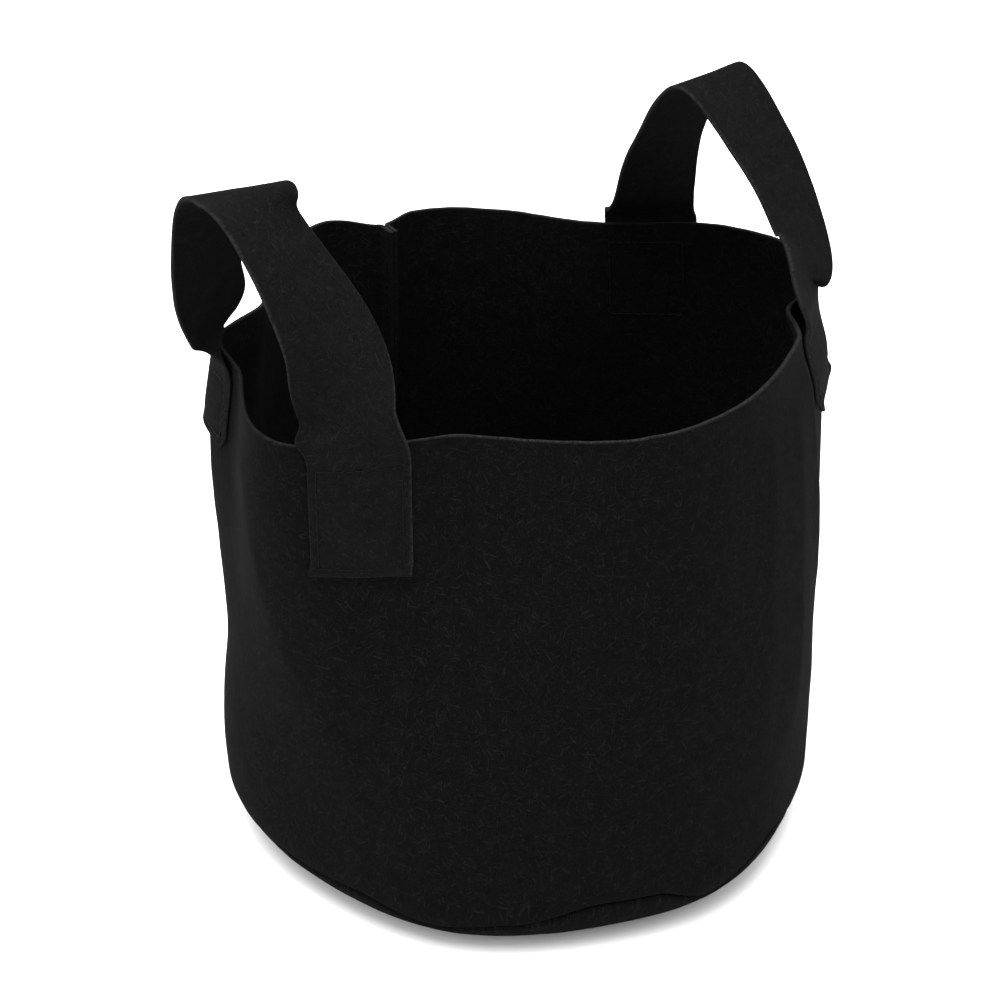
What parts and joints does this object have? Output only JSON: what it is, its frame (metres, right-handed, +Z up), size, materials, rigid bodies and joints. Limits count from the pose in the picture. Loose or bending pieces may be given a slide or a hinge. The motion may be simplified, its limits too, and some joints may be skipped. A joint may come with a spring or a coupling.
{
  "type": "fabric grow bag",
  "caption": "Round felt planting pot with a sewn-in base, an open wavy rim and flat felt carrying handles.",
  "frame": {"origin": "middle of the flat underside of the base, on the ground", "axes": "+Z up through the mouth, handles on +X and -X, the wall's upright seam near +Y"},
  "size_m": [0.2817, 0.2553, 0.3179],
  "materials": {
    "felt": "matte black needle-punched felt",
    "strap": "matte black needle-punched felt",
    "thread": "black polyester sewing thread"
  },
  "bodies": {
    "bag": {"wall_panel": "felt", "base_disc": "felt", "left_handle_front_end": "strap", "left_handle_rear_end": "strap", "right_handle_front_end": "strap", "right_handle_rear_end": "strap", "wall_seam_needle_thread": "thread", "wall_seam_bobbin_thread": "thread", "base_seam_needle_thread": "thread", "base_seam_bobbin_thread": "thread", "left_front_needle_thread": "thread", "left_front_bobbin_thread": "thread", "left_rear_needle_thread": "thread", "left_rear_bobbin_thread": "thread", "right_front_needle_thread": "thread", "right_front_bobbin_thread": "thread", "right_rear_needle_thread": "thread", "right_rear_bobbin_thread": "thread"},
    "left_handle": {"left_handle_loop": "strap"},
    "right_handle": {"right_handle_loop": "strap"}
  },
  "joints": [
    {"name": "left_handle_swing", "type": "hinge", "parent": "bag", "child": "left_handle", "pos_m": [-0.1152, -0.0076, 0.256], "axis": [0.0336, -0.9994, 0], "range_deg": [-90, 100]},
    {"name": "right_handle_swing", "type": "hinge", "parent": "bag", "child": "right_handle", "pos_m": [0.1032, -0.0013, 0.256], "axis": [-0.1742, 0.9847, 0], "range_deg": [-90, 100]}
  ]
}
